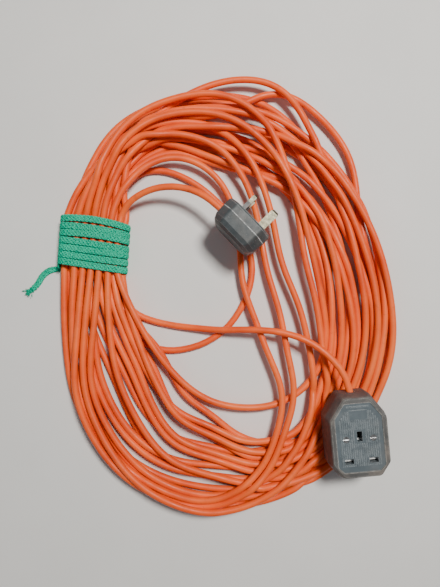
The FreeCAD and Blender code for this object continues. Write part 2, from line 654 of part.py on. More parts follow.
def hank_section(outer, inner, low, high):
    """One cross-section of the hank: an oblong with its corners cut."""
    edge_out = Vector(outer[0], outer[1], 0)
    edge_in = Vector(inner[0], inner[1], 0)
    across = (edge_out - edge_in).normalize()
    foot = 2.5
    brow = 5.0
    corners = [
        edge_in + across * foot + Vector(0, 0, low),
        edge_out - across * foot + Vector(0, 0, low),
        edge_out + Vector(0, 0, low + foot),
        edge_out + Vector(0, 0, high - brow),
        edge_out - across * brow + Vector(0, 0, high),
        edge_in + across * brow + Vector(0, 0, high),
        edge_in + Vector(0, 0, high - brow),
        edge_in + Vector(0, 0, low + foot),
    ]
    return Part.makePolygon(corners + [corners[0]])


def cable_hank():
    """The wound turns as one closed ring of their outer shape."""
    stations = neck_stations() + HANK_STATIONS
    sections = [hank_section(*station) for station in stations]
    ring = Part.makeLoft(sections + [sections[0]], True, True)
    return ring.cut(box(800.0, 800.0, 10.0, low=-10.0))


def tie_windings():
    """The wraps of the tie, side by side round the neck."""
    outward, along = tie_axes()
    middle = Vector(0, 0, TIE_HEIGHT / 2)
    wraps = []
    for i in range(TIE_WRAPS):
        outer = rounded_oblong(TIE_WIDTH, TIE_HEIGHT, 7.0)
        inner = rounded_oblong(TIE_WIDTH - 2 * TIE_THICKNESS, TIE_HEIGHT - 2 * TIE_THICKNESS, 4.2)
        face = Part.Face(outer).cut(Part.Face(inner))
        ring = face.extrude(Vector(0, 0, TIE_PITCH - TIE_GAP))
        ring.rotate(Vector(0, 0, 0), Vector(1, 0, 0), 90)
        ring.rotate(Vector(0, 0, 0), Vector(0, 0, 1), -TIE_LEAN)
        far_side = (i + 1 - TIE_WRAPS / 2) * TIE_PITCH - TIE_GAP / 2
        ring.translate(TIE_CENTRE + middle + along * far_side)
        wraps.append(ring)
    return Part.makeCompound(wraps)


def rounded_oblong(width, height, radius):
    """A closed rounded rectangle in the XY plane."""
    x = width / 2
    y = height / 2
    return rounded_wire([(x, -y), (x, y), (-x, y), (-x, -y)], radius, 0)


def lead_into_plug():
    """The plug lead's route, ending straight inside the plug's cord grip."""
    matrix = plug_placement()
    outside = matrix.multVec(Vector(0, -PLUG_HALF - 7.0, PLUG_CABLE_Z))
    inside = matrix.multVec(Vector(0, PLUG_SHEATH_END, PLUG_CABLE_Z))
    return PLUG_LEAD + [tuple(outside), tuple(inside)]


def lead_into_socket():
    """The socket lead's route, ending straight inside the socket's cord clamp."""
    x = SOCKET_CENTRE.x
    z = SOCKET_CENTRE.z + SOCKET_CABLE_Z
    outside = (x, SOCKET_CENTRE.y + SOCKET_HALF_LENGTH + 11.0, z)
    inside = (x, SOCKET_CENTRE.y + SOCKET_SHEATH_END, z)
    return SOCKET_LEAD + [outside, inside]


def cable_parts():
    """The hank, the loose stretches and the tie."""
    return {
        "cable_hank": cable_hank(),
        "cable_plug_lead": tube(lead_into_plug(), CABLE_RADIUS, "cable_plug_lead"),
        "cable_socket_lead": tube(lead_into_socket(), CABLE_RADIUS, "cable_socket_lead"),
        "cable_inner_turn": tube(INNER_TURN, CABLE_RADIUS, "cable_inner_turn"),
        "tie_windings": tie_windings(),
        "tie_tail": tube(TIE_TAIL, TIE_CORD_RADIUS, "tie_tail"),
    }


def build():
    """Makes every piece in the lead's own frame and writes it as STEP."""
    os.makedirs("parts", exist_ok=True)
    parts = {}
    placement = plug_placement()
    for name, shape in plug_parts().items():
        parts[name] = shape.transformed(placement)
    for name, shape in socket_parts().items():
        parts[name] = moved(shape, SOCKET_CENTRE.x, SOCKET_CENTRE.y, SOCKET_CENTRE.z)
    parts.update(cable_parts())
    for name, shape in parts.items():
        shape.exportStep("parts/" + name + ".step")
        if not shape.isValid() or shape.Volume <= 0:
            print("not valid:", name, shape.Volume)
    print("nodes", len(parts))
    return parts


PARTS = build()
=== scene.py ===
import bmesh
import bpy
import json
import math
import random
import numpy as np
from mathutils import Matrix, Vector


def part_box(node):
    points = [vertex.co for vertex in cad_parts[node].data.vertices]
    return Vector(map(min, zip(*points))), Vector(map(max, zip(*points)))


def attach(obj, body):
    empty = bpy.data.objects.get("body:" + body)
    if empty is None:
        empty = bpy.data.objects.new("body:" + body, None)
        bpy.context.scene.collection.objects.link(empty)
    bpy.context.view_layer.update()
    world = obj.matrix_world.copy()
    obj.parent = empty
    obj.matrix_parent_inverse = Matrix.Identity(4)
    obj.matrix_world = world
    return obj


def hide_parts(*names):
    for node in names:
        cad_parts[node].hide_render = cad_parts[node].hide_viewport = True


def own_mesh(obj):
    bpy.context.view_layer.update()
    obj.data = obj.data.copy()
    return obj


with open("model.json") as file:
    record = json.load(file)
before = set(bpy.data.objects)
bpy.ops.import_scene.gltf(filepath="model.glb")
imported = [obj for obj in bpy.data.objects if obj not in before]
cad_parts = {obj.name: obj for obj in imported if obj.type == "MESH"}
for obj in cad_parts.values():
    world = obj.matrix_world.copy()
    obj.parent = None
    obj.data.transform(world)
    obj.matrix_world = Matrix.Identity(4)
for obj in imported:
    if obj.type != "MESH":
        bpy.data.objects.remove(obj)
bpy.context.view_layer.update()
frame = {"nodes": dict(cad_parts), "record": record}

# The cable, the tie and the spring are laid out in millimetres, and MM turns them into metres.
# Materials, lights and the camera are in metres.
MM = 0.001
NEARLY_ZERO = 1e-6

# ------------------------------------------------------------------ the cable's layout
CABLE_DIAMETER = 6.5
CABLE_RADIUS = CABLE_DIAMETER / 2
# A pass is one run of the cable through the tie. The plan's points are a segment apart.
PASSES = 21
SEGMENT = 9.5
CURVE_STEPS = 12

# Routes of the loose stretches. Their points are control points of the cable's spline.
PLUG_LEAD = [
    (-82, 130, 15.5), (-73, 140.5, 20.5), (-58, 147.5, 25.0), (-41, 150.5, 28.5), (-22, 148.5, 31.0),
    (-4, 140.5, 34.5),
]
SOCKET_LEAD = [
    (-88, 45, 5.0), (-80, 32, 4.2), (-64, 23.5, 3.6), (-42, 16.5, 3.9), (-18, 12, 6.5), (3, 8.5, 11.0),
    (24, 7.5, 16.0), (46, 5.5, 20.0), (68, 0.5, 22.5), (88, -9, 25.5), (105, -24, 29.0),
]
INNER_TURN = [
    (-82, 152, 4.0), (-74, 165, 3.5), (-59, 173, 3.3), (-39, 173, 3.3), (-17, 163, 3.3), (4, 146, 3.3),
    (22, 124, 3.3), (35, 101, 3.3), (42, 76, 3.3), (39, 52, 3.3), (28, 29, 3.3), (10, 8, 3.3), (-15, -5, 3.3),
    (-42, -9, 3.3), (-63, -5, 3.3), (-80, 8, 3.4),
]
# A route's points lower than this are on the ground.
ON_GROUND = 6.4

# Plug and socket, as in CAD, and how far the cable runs straight out of each.
PLUG_FACE_CENTRE = (40.0, 110.3, 38.0)
PLUG_HEADING = math.radians(39.0)
PLUG_CABLE_DEPTH = 12.0
PLUG_HALF = 25.0
PLUG_THICKNESS = 26.0
PLUG_SHEATH_END = 13.8
PLUG_STRAIGHT = 7.0
SOCKET_CENTRE = (120.5, -96.5, 13.0)
SOCKET_HALF = (28.0, 38.0)
SOCKET_CABLE_Z = 19.0
SOCKET_SHEATH_END = 21.5
SOCKET_STRAIGHT = 11.0

# The tie's neck. Each of its rows has a number of passes, and a place across for the first.
TIE_CENTRE = (-112.0, 106.0)
TIE_LEAN = math.radians(9.0)
TIE_WRAPS = 7
TIE_PITCH = 7.2
TIE_WIDTH = 69.0
TIE_HEIGHT = 22.5
TIE_CORD_THICKNESS = 2.3
NECK_ROWS = ((7, -24.0), (8, -28.0), (6, -24.0))
NECK_PITCH = 8.0
NECK_ROW_RISE = 5.15
NECK_FLOOR = 2.5
NECK_MARKS = (-1, -0.33, 0.33, 1)
NECK_OVERHANG = 1.0
NECK_EDGE = 2.0

# The hank's band, clockwise from just past the tie: outer edge and inner edge.
BAND = [
    ((-118, 178), (-70, 150)), ((-82, 222), (-50, 172)), ((-35, 242), (-22, 181)), ((28, 250), (12, 161)),
    ((86, 236), (30, 128)), ((140, 175), (40, 96)), ((170, 100), (45, 60)), ((181, 25), (47, 22)),
    ((172, -30), (49, -20)), ((150, -80), (45, -52)), ((108, -134), (33, -72)), ((50, -170), (8, -85)),
    ((-20, -172), (-14, -87)), ((-84, -150), (-35, -76)), ((-128, -108), (-49, -44)),
    ((-152, -45), (-60, -5)), ((-156, 20), (-73, 35)),
]
# How far out a turn lies is set at the key stations, counted in BAND's rows, as a share of the
# band from 0 (inner edge) to 1 (outer edge). SPREADS has a phase, a lowest and a highest share.
KEY_STATIONS = (2.5, 6, 8, 10, 12, 15)
SPREADS = (
    (0.0, 0.03, 0.93), (0.9, 0.48, 0.93), (1.4, 0.50, 0.93),
    (1.4, 0.46, 0.93), (2.4, -0.22, 0.86), (2.6, -0.10, 0.92),
)
LAYER = 10
GOLDEN_ANGLE = 2.4
WAVER = 0.02
WAVER_RATE = 0.9
WAVER_SEED = 100
# The turns that are followed one by one.
LOOSE_TURNS = {
    19: (0.60, 0.48, 0.40, 0.40, 0.05, 0.05),
    18: (0.84, 0.40, 0.45, 0.64, 0.88, 0.80),
    17: (0.33, 0.07, 0.14, 0.36, 0.90, 0.86),
    16: (-0.03, -0.11, 0.00, 0.24, 0.80, 0.86),
    15: (0.45, 0.90, 0.94, 0.88, 0.52, 0.45),
    14: (0.50, 0.19, 0.32, 0.54, 0.78, 0.72),
    12: (0.84, 0.74, 0.76, 0.70, 0.28, 0.25),
    8: (0.62, 0.80, 0.86, 0.88, 0.90, 0.93),
}
# Where a turn springs outwards: its station, and how far, as a share of the band.
SPRUNG = {8: (4.4, 0.38), 12: (3.5, 0.22)}
# One turn leaves the band after a few stations and lies loose inside it, lower than its number.
LOOSE_TURN = 19
LOOSE_TURN_STATIONS = 6
LOOSE_TURN_LEVEL = 13.5
LOOSE_TURN_RUN = [
    (109, 20), (105, -28), (84, -56), (52, -70), (20, -69), (-6, -62), (-27, -48), (-46, -27),
    (-63, 0), (-78, 30),
]

# How the cable settles. An _UNTIL is the share of the rounds by which something has ended, or by
# which the grip on the points in the tie and on the routes is full.
SETTLE_ROUNDS = 420
SINK = 1.2
SINK_UNTIL = 0.75
SINK_ALWAYS = 0.03
HOMING = 0.03
HOMING_UNTIL = 0.5
HOMING_ALWAYS = 0.002
GRIP_UNTIL = 0.4
LID_UNTIL = 0.5
LID_LIFT = 200.0
LID_GAP = 0.1
LID_MARGIN = 1.0
NO_LID = 1e3
# Stiffness in plan and in height, over the nearest points and over the third nearest.
BEND_NEAR = (0.30, 0.45)
BEND_WIDE = (0.15, 0.20)
SMOOTHINGS = 24
SMOOTHING_STRENGTHS = (0.5, -0.51)
# Segments of the cable that may touch: how often they are listed, how many between two on the
# cable are left out, and how much farther apart than touching they may be.
PAIRS_EVERY = 12
PAIRS_SKIP = 3
PAIRS_MARGIN = 4.0
PAIRS_RISE = 6.0
# How many times they are pushed apart in a round, up to each share of the rounds.
PUSHES = ((0.5, 1), (0.85, 3), (1.0, 6))
PUSH_GAIN = 1.3
# Shares of the diameter: closer in plan than this two segments cross, and a later one that is
# less than this above an earlier one is lifted over it.
CROSSING_SHARE = 0.35
OVER_SHARE = 0.3

# The tie's cord: a flat plait of yarns round a core.
TIE_CORD_WIDTH = 6.7
TIE_POINTS = 40
TIE_CORNER = 8.5
TIE_SLANT = 5.0
TIE_HEIGHT_SLACK = 0.3
TIE_END_GAP = 0.2
TIE_SQUEEZE = 0.95
TIE_SHORT = 0.085
TIE_SEED = 7
TIE_DRIFT = 1.1
TIE_BOW = (3.0, 0.6, 0.8)
YARNS = 8
YARN_RADIUS = 0.78
YARN_WIDE = 1.15
YARN_HIGH = 0.75
YARN_SIDES = 5
YARN_OFFSET = 0.4
YARN_WEAVE = 0.25
PLAIT_LENGTH = 15.0
CORE_INSET = 0.9
CORE_HALF_HEIGHT = 0.55
CORE_SIDES = 6
TAIL_HEIGHT = 1.35
TIE_TAIL = [(x, y, TAIL_HEIGHT) for x, y in ((-158, 84.3), (-165, 82.0), (-171, 77), (-175, 70), (-182, 65))]

# The tail's frayed end.
FRAY_SEED = 11
FILAMENTS = 34
FILAMENT_STEPS = 6
FILAMENT_HALF_WIDTH = 0.22
FILAMENT_HALF_HEIGHT = 0.18
FILAMENT_SIDES = 4
FRAY_SPREAD = 0.75
FRAY_REACH = (4.0, 9.0)
FRAY_LIFT = 1.6
FRAY_SIDE = 1.9
FRAY_BOW = 1.5
FRAY_FLOOR = 0.9
FRAY_FALL = 0.3
FRAY_ARCH = 0.8

# The shutter's spring.
SPRING_FOLDS = 7
SPRING_POINTS = 16
SPRING_STRIP = 0.3
SPRING_SIDES = 8

# Floor, lights and camera.
FLOOR_HALF = 3.0
LIGHT_AIM = (0.01, 0.03, 0.0)
WORLD_COLOUR = (0.93, 0.96, 1.0, 1)
WORLD_STRENGTH = 0.11
CAMERA_PLACE = (0.0065, 0.0445, 0.480)
CAMERA_TURN = math.radians(5.2)
CAMERA_SENSOR = 36
CAMERA_LENS = 29.1925
CAMERA_CLIP = 0.01


def tie_frame():
    """Unit vectors in the ground plane: across the neck, outwards, and along it, upwards."""
    outward = np.array([-math.cos(TIE_LEAN), math.sin(TIE_LEAN)])
    along = np.array([math.sin(TIE_LEAN), math.cos(TIE_LEAN)])
    return outward, along


def arrival(p):
    """How far out pass p arrives at the tie. The first two passes come from the socket lead and
    the inner turn, and the last leaves as the plug lead, all at the inner edge."""
    if p in (0, PASSES - 1):
        return -1.0
    if p == 1:
        return 0.0
    return turn_fractions(p - 1)[-1]


def neck_slots():
    """Where each pass of the cable goes through the tie: (across, height), lowest row first.
    Within a row the passes keep the order in which they arrive from the left of the hank."""
    slots = []
    for row, (count, first) in enumerate(NECK_ROWS):
        start = len(slots)
        leaning = [arrival(p) for p in range(start, start + count)]
        order = np.argsort(np.argsort(leaning))
        height = NECK_FLOOR + CABLE_RADIUS + row * NECK_ROW_RISE
        slots += [(first + place * NECK_PITCH, height) for place in order]
    return slots


def catmull(points, steps):
    """Points along a smooth open curve through points, steps to each stretch."""
    pts = np.array(points, dtype=float)
    pts = np.vstack([2 * pts[0] - pts[1], pts, 2 * pts[-1] - pts[-2]])
    out = []
    for i in range(1, len(pts) - 2):
        p0, p1, p2, p3 = pts[i - 1:i + 3]
        for j in range(steps):
            t = j / steps
            out.append(0.5 * (2 * p1 + (p2 - p0) * t + (2 * p0 - 5 * p1 + 4 * p2 - p3) * t ** 2
                              + (3 * p1 - p0 - 3 * p2 + p3) * t ** 3))
    out.append(pts[-2])
    return np.array(out)


def spread(k, phase, low, high):
    """Where turn k lies between low and high: each layer's turns are evenly spaced, and their
    order changes slowly with phase, so that they cross at a slant."""
    layer = [p for p in range(1, PASSES - 1)
             if (p - 1) // LAYER == (k - 1) // LAYER and p not in LOOSE_TURNS]
    ranked = sorted(layer, key=lambda p: math.cos(GOLDEN_ANGLE * p + phase))
    return low + (high - low) * (ranked.index(k) + 0.5) / len(layer)


def turn_fractions(k):
    """How far out a turn lies at each key station."""
    if k in LOOSE_TURNS:
        return LOOSE_TURNS[k]
    return tuple(spread(k, phase, low, high) for phase, low, high in SPREADS)


def through_neck(p):
    """The plan rows (x, y, level) of pass p through the tie."""
    outward, along = tie_frame()
    reach = TIE_WRAPS * TIE_PITCH / 2 + NECK_OVERHANG
    across = neck_slots()[p][0]
    spots = [np.array(TIE_CENTRE) + along * mark * reach + outward * across for mark in NECK_MARKS]
    return [(spot[0], spot[1], p) for spot in spots]


def routed(points):
    """Plan rows (x, y, level, height) for a route's points. A point on the ground was laid down
    before the coil, and a raised one after it."""
    return [(x, y, 0.0 if z < ON_GROUND else PASSES + 1.0, z) for x, y, z in points]


def wound(rows, before, after):
    """Plan rows a segment apart through rows of (x, y, level), between two routes' ends. The
    height is left open."""
    start = [row[:3] for row in before[-2:]]
    end = [row[:3] for row in after[:2]]
    curve = catmull(start + rows + end, CURVE_STEPS)[CURVE_STEPS:-CURVE_STEPS]
    line = even_steps(curve, SEGMENT)[1:-1]
    return np.column_stack([line, np.full(len(line), np.nan)])


def lay_out_cable():
    """The cable's plan from the socket to the plug: rows of x, y, level (how late it was wound)
    and height, which isn't a number along the coil, because the coil has yet to settle."""
    x, y, z = SOCKET_CENTRE
    inside_socket = (x, y + SOCKET_SHEATH_END, z + SOCKET_CABLE_Z)
    at_socket = (x, y + SOCKET_HALF[1] + SOCKET_STRAIGHT, z + SOCKET_CABLE_Z)
    x, y, z = PLUG_FACE_CENTRE
    x -= PLUG_CABLE_DEPTH * math.cos(PLUG_HEADING)
    y -= PLUG_CABLE_DEPTH * math.sin(PLUG_HEADING)
    into_plug = [(x - run * math.sin(PLUG_HEADING), y + run * math.cos(PLUG_HEADING), z)
                 for run in (PLUG_HALF + PLUG_STRAIGHT, PLUG_SHEATH_END)]
    socket_route = routed([inside_socket, at_socket] + SOCKET_LEAD[::-1])
    inner_route = routed(INNER_TURN)
    plug_route = routed(PLUG_LEAD + into_plug)
    slots = neck_slots()
    turns = through_neck(1)
    for p in range(1, PASSES - 1):
        turn = band_turn(p, slots[p][0], slots[p + 1][0])
        levels = [p + (i + 1) / (len(turn) + 1) for i in range(len(turn))]
        if p == LOOSE_TURN:
            levels[-len(LOOSE_TURN_RUN):] = [LOOSE_TURN_LEVEL] * len(LOOSE_TURN_RUN)
        turns += [(x, y, level) for (x, y), level in zip(turn, levels)]
        turns += through_neck(p + 1)
    return np.vstack([
        socket_route, wound(through_neck(0), socket_route, inner_route),
        inner_route, wound(turns[:-1], inner_route, plug_route), plug_route,
    ])


def band_turn(k, across_start, across_end):
    """One turn's plan points, from just past the tie round to just before it."""
    marks = (-1,) + KEY_STATIONS + (len(BAND),)
    fractions = (0.5 + across_start / TIE_WIDTH,) + turn_fractions(k) + (0.5 + across_end / TIE_WIDTH,)
    phase = random.Random(WAVER_SEED + k).uniform(0, 2 * math.pi)
    points = []
    for i, (outer, inner) in enumerate(BAND):
        after = next(m for m, mark in enumerate(marks) if mark > i)
        t = (i - marks[after - 1]) / (marks[after] - marks[after - 1])
        f = fractions[after - 1] + (fractions[after] - fractions[after - 1]) * (3 * t * t - 2 * t ** 3)
        f += WAVER * math.sin(phase + i * WAVER_RATE)
        if k in SPRUNG:
            f += SPRUNG[k][1] * math.exp(-(i - SPRUNG[k][0]) ** 2)
        points.append((inner[0] + f * (outer[0] - inner[0]), inner[1] + f * (outer[1] - inner[1])))
    if k == LOOSE_TURN:
        points = points[:LOOSE_TURN_STATIONS] + LOOSE_TURN_RUN
    return points


def even_steps(line, step):
    """The same line with points a step apart (measured in the ground plane)."""
    gaps = np.linalg.norm(np.diff(line[:, :2], axis=0), axis=1)
    run = np.concatenate([[0], np.cumsum(gaps)])
    count = int(round(run[-1] / step))
    at = np.linspace(0, run[-1], count + 1)
    return np.column_stack([np.interp(at, run, line[:, c]) for c in range(line.shape[1])])


def closest_on_segments(a0, a1, b0, b1):
    """For each pair of segments: the parameters of their closest points and the gap vector."""
    u = a1 - a0
    v = b1 - b0
    w = a0 - b0
    uu = np.einsum("ij,ij->i", u, u)
    uv = np.einsum("ij,ij->i", u, v)
    vv = np.einsum("ij,ij->i", v, v)
    uw = np.einsum("ij,ij->i", u, w)
    vw = np.einsum("ij,ij->i", v, w)
    det = uu * vv - uv * uv
    slanted = det > NEARLY_ZERO * uu * vv
    s = np.where(slanted, (uv * vw - vv * uw) / np.maximum(det, NEARLY_ZERO), 0.5)
    s = np.clip(s, 0, 1)
    t = np.clip((uv * s + vw) / vv, 0, 1)
    s = np.clip((uv * t - uw) / uu, 0, 1)
    gap = w + u * s[:, None] - v * t[:, None]
    return s, t, gap


def nearby_pairs(pos, skip, margin):
    """Pairs of segments that are close in plan and aren't neighbours on the cable."""
    middle = (pos[:-1, :2] + pos[1:, :2]) / 2
    half = np.linalg.norm(np.diff(pos, axis=0), axis=1) / 2
    cell = np.floor(middle / (2 * half.max() + margin)).astype(int)
    cell -= cell.min(axis=0)
    wide = cell[:, 1].max() + 3
    key = (cell[:, 0] + 1) * wide + cell[:, 1] + 1
    order = np.argsort(key, kind="stable")
    ranked = key[order]
    found = []
    for dx in (0, 1):
        for dy in (-1, 0, 1):
            if dx == 0 and dy < 0:
                continue
            target = key + dx * wide + dy
            low = np.searchsorted(ranked, target, "left")
            high = np.searchsorted(ranked, target, "right")
            count = high - low
            i = np.repeat(np.arange(len(key)), count)
            if len(i) == 0:
                continue
            offset = np.arange(len(i)) - np.repeat(np.cumsum(count) - count, count)
            j = order[np.repeat(low, count) + offset]
            keep = i < j if dx == 0 and dy == 0 else i != j
            i, j = i[keep], j[keep]
            found.append(np.column_stack([np.minimum(i, j), np.maximum(i, j)]))
    pairs = np.vstack(found)
    apart = np.linalg.norm(middle[pairs[:, 0]] - middle[pairs[:, 1]], axis=1)
    reach = half[pairs[:, 0]] + half[pairs[:, 1]] + margin
    return pairs[(pairs[:, 1] - pairs[:, 0] > skip) & (apart < reach)]


def smoothed(target, held):
    """The plan without its small kinks, and no smaller: each pass of smoothing is undone on the
    large scale by one of the opposite sign."""
    line = target.copy()
    for _ in range(SMOOTHINGS):
        for strength in SMOOTHING_STRENGTHS:
            middle = (line[:-2] + line[2:]) / 2 - line[1:-1]
            middle[held[1:-1]] = 0
            line[1:-1] += strength * middle
    return line


def inside_tie(plan):
    """Which points of the plan are in the tie, other than a route's."""
    outward, along = tie_frame()
    shift = plan[:, :2] - np.array(TIE_CENTRE)
    in_length = np.abs(shift @ along) < TIE_WRAPS * TIE_PITCH / 2 - NECK_EDGE
    in_width = np.abs(shift @ outward) < TIE_WIDTH / 2 + NECK_EDGE
    return in_length & in_width & np.isnan(plan[:, 3])


def settle_cable():
    """Drops the laid-out cable and lets it come to rest on the ground, on itself and under the
    plug and socket. Returns the points of its centreline in millimetres."""
    plan = lay_out_cable()
    level = plan[:, 2]
    height = plan[:, 3]
    routed_point = ~np.isnan(height)
    in_neck = inside_tie(plan)
    slots = neck_slots()
    passes = np.minimum(np.rint(level[in_neck]), PASSES - 1).astype(int)
    height[in_neck] = [slots[p][1] for p in passes]
    fixed = in_neck | routed_point
    target = smoothed(plan[:, :2], fixed)
    movable = 1.0 - (fixed[:-1] & fixed[1:])
    pos = np.column_stack([target, CABLE_RADIUS + level * CABLE_DIAMETER])
    lid = np.where(routed_point, NO_LID, ceilings(target))
    curl = (target[:-2] + target[2:]) / 2 - target[1:-1]
    wide_curl = (target[:-6] + target[6:]) / 2 - target[3:-3]
    rest = np.linalg.norm(np.diff(target, axis=0), axis=1)
    for turn in range(SETTLE_ROUNDS):
        ease = turn / SETTLE_ROUNDS
        grip = min(1.0, ease / GRIP_UNTIL)
        homing = HOMING * max(0.0, 1 - ease / HOMING_UNTIL) + HOMING_ALWAYS
        pos[:, 2] -= SINK * max(0.0, 1 - ease / SINK_UNTIL) ** 2 + SINK_ALWAYS
        pos[:, :2] += homing * (target - pos[:, :2])
        if turn % PAIRS_EVERY == 0:
            pairs = nearby_pairs(pos, PAIRS_SKIP, CABLE_DIAMETER + PAIRS_MARGIN)
        bend(pos, curl, wide_curl)
        stretch(pos, rest)
        pushes = next(count for until, count in PUSHES if ease < until)
        for _ in range(pushes):
            push_apart(pos, pairs, level, movable)
            pos[:, 2] = np.maximum(pos[:, 2], CABLE_RADIUS)
            pos[:, 2] = np.minimum(pos[:, 2], lid + LID_LIFT * max(0.0, LID_UNTIL - ease))
            pos[fixed, :2] = target[fixed]
            pos[fixed, 2] += grip * (height[fixed] - pos[fixed, 2])
    return pos


def bend(pos, curl, wide_curl):
    """The cable's stiffness: each point moves towards the line through its neighbours, with the
    curl that the plan gives it."""
    for _ in range(2):
        middle = (pos[:-2] + pos[2:]) / 2 - pos[1:-1]
        pos[1:-1, :2] += BEND_NEAR[0] * (middle[:, :2] - curl)
        pos[1:-1, 2] += BEND_NEAR[1] * middle[:, 2]
        wide = (pos[:-6] + pos[6:]) / 2 - pos[3:-3]
        pos[3:-3, :2] += BEND_WIDE[0] * (wide[:, :2] - wide_curl)
        pos[3:-3, 2] += BEND_WIDE[1] * wide[:, 2]


def ceilings(target):
    """The greatest height for each point where the plug or the socket lies above it."""
    lid = np.full(len(target), NO_LID)
    top = SOCKET_CENTRE[2] - CABLE_RADIUS - LID_GAP
    margin = CABLE_RADIUS + LID_MARGIN
    near_socket = (np.abs(target[:, 0] - SOCKET_CENTRE[0]) < SOCKET_HALF[0] + margin) & (
        np.abs(target[:, 1] - SOCKET_CENTRE[1]) < SOCKET_HALF[1] + margin)
    lid[near_socket] = top
    face = target - np.array(PLUG_FACE_CENTRE[:2])
    out = face[:, 0] * math.cos(PLUG_HEADING) + face[:, 1] * math.sin(PLUG_HEADING)
    run = face[:, 0] * math.sin(PLUG_HEADING) - face[:, 1] * math.cos(PLUG_HEADING)
    under_plug = (out > -PLUG_THICKNESS - margin) & (out < margin) & (np.abs(run) < PLUG_HALF + margin)
    lid[under_plug] = top
    return lid


def stretch(pos, rest):
    """Gives each segment its length back."""
    for parity in (0, 1, 0, 1):
        a = pos[parity:-1:2]
        b = pos[parity + 1::2]
        n = min(len(a), len(b))
        gap = b[:n] - a[:n]
        length = np.linalg.norm(gap, axis=1)
        move = 0.5 * (1 - rest[parity::2][:n] / length)[:, None] * gap
        pos[parity:-1:2][:n] += move
        pos[parity + 1::2][:n] -= move


def push_apart(pos, pairs, level, movable):
    """Moves segments that overlap apart, half each, or the whole way where the other is held.
    Where two cross, the one wound later is the one on top."""
    i, j = pairs[:, 0], pairs[:, 1]
    close = np.abs(pos[i, 2] - pos[j, 2]) < CABLE_DIAMETER + PAIRS_RISE
    i, j = i[close], j[close]
    s, t, gap = closest_on_segments(pos[i], pos[i + 1], pos[j], pos[j + 1])
    crossing = np.hypot(gap[:, 0], gap[:, 1]) < CROSSING_SHARE * CABLE_DIAMETER
    above = np.where(level[i] > level[j], 1.0, -1.0)
    wrong = crossing & (gap[:, 2] * above < OVER_SHARE * CABLE_DIAMETER)
    length = np.linalg.norm(gap, axis=1)
    depth = CABLE_DIAMETER - length
    depth[wrong] = (CABLE_DIAMETER - gap[:, 2] * above)[wrong]
    gap[wrong] = np.outer(above[wrong], (0, 0, 1))
    length[wrong] = 1.0
    hit = depth > 0
    i, j, s, t, gap, length, depth = (values[hit] for values in (i, j, s, t, gap, length, depth))
    share = depth / np.maximum(movable[i] + movable[j], 1)
    push = gap * (share / np.maximum(length, NEARLY_ZERO))[:, None]
    total = np.zeros_like(pos)
    weight = np.zeros(len(pos))
    for index, part, sign in ((i, 1 - s, 1), (i + 1, s, 1), (j, 1 - t, -1), (j + 1, t, -1)):
        for c in range(3):
            total[:, c] += np.bincount(index, sign * part * push[:, c], len(pos))
        weight += np.bincount(index, part, len(pos))
    pos += PUSH_GAIN * total / np.maximum(weight, 1.0)[:, None]


# ------------------------------------------------------------------ materials
def add(tree, kind, **settings):
    """A new node. A setting that isn't a property of the node goes to the input of that name."""
    made = tree.nodes.new("ShaderNode" + kind)
    for key, value in settings.items():
        if hasattr(made, key):
            setattr(made, key, value)
        else:
            made.inputs[key.replace("_", " ")].default_value = value
    return made


def join(tree, source, output, target, entry):
    """Links an output of one node to an input of another."""
    tree.links.new(source.outputs[output], target.inputs[entry])


def fresh(name, metallic=0.0, roughness=0.5):
    """A new material with its node tree and its shader."""
    made = bpy.data.materials.new(name)
    made.use_nodes = True
    shader = made.node_tree.nodes["Principled BSDF"]
    shader.inputs["Metallic"].default_value = metallic
    shader.inputs["Roughness"].default_value = roughness
    return made, made.node_tree, shader


def place(tree, stretch_by=(1, 1, 1)):
    """Coordinates in metres, stretched."""
    coordinates = add(tree, "TexCoord")
    mapped = add(tree, "Mapping", vector_type="POINT")
    mapped.inputs["Scale"].default_value = stretch_by
    join(tree, coordinates, "Object", mapped, "Vector")
    return mapped


def noise(tree, where, scale, detail, roughness=0.55):
    """A noise texture, scale being how many of its features go to a metre."""
    made = add(tree, "TexNoise", Scale=scale, Detail=detail, Roughness=roughness)
    join(tree, where, 0, made, "Vector")
    return made


def ramp(tree, source, low, high, dark, light):
    """Turns a value from low to high into a colour from dark to light."""
    made = add(tree, "ValToRGB")
    made.color_ramp.elements[0].position = low
    made.color_ramp.elements[1].position = high
    made.color_ramp.elements[0].color = (*dark, 1)
    made.color_ramp.elements[1].color = (*light, 1)
    join(tree, source, 0, made, "Fac")
    return made


def span(tree, source, low, high, to_low, to_high, output=0):
    """Maps a value from one range to another, clamped."""
    made = add(tree, "MapRange")
    for entry, value in (("From Min", low), ("From Max", high), ("To Min", to_low), ("To Max", to_high)):
        made.inputs[entry].default_value = value
    join(tree, source, output, made, "Value")
    return made


def blend_colours(tree, share, first, second, kind="MIX"):
    """Mixes two colour nodes, or a colour node with a plain colour, by share (0 to 1)."""
    made = add(tree, "Mix", data_type="RGBA", blend_type=kind)
    if isinstance(share, float):
        made.inputs[0].default_value = share
    else:
        join(tree, share, 0, made, 0)
    join(tree, first, first_colour(first), made, 6)
    if isinstance(second, tuple):
        made.inputs[7].default_value = (*second, 1)
    else:
        join(tree, second, first_colour(second), made, 7)
    return made


def first_colour(source):
    """The output of a node that carries its colour."""
    return 2 if source.bl_idname == "ShaderNodeMix" else 0


def emboss(tree, shader, source, distance, strength):
    """Bump from a value, on top of any bump already there."""
    made = add(tree, "Bump")
    made.inputs["Strength"].default_value = strength
    made.inputs["Distance"].default_value = distance
    join(tree, source, 0, made, "Height")
    before = shader.inputs["Normal"].links
    if before:
        tree.links.new(before[0].from_socket, made.inputs["Normal"])
    join(tree, made, "Normal", shader, "Normal")


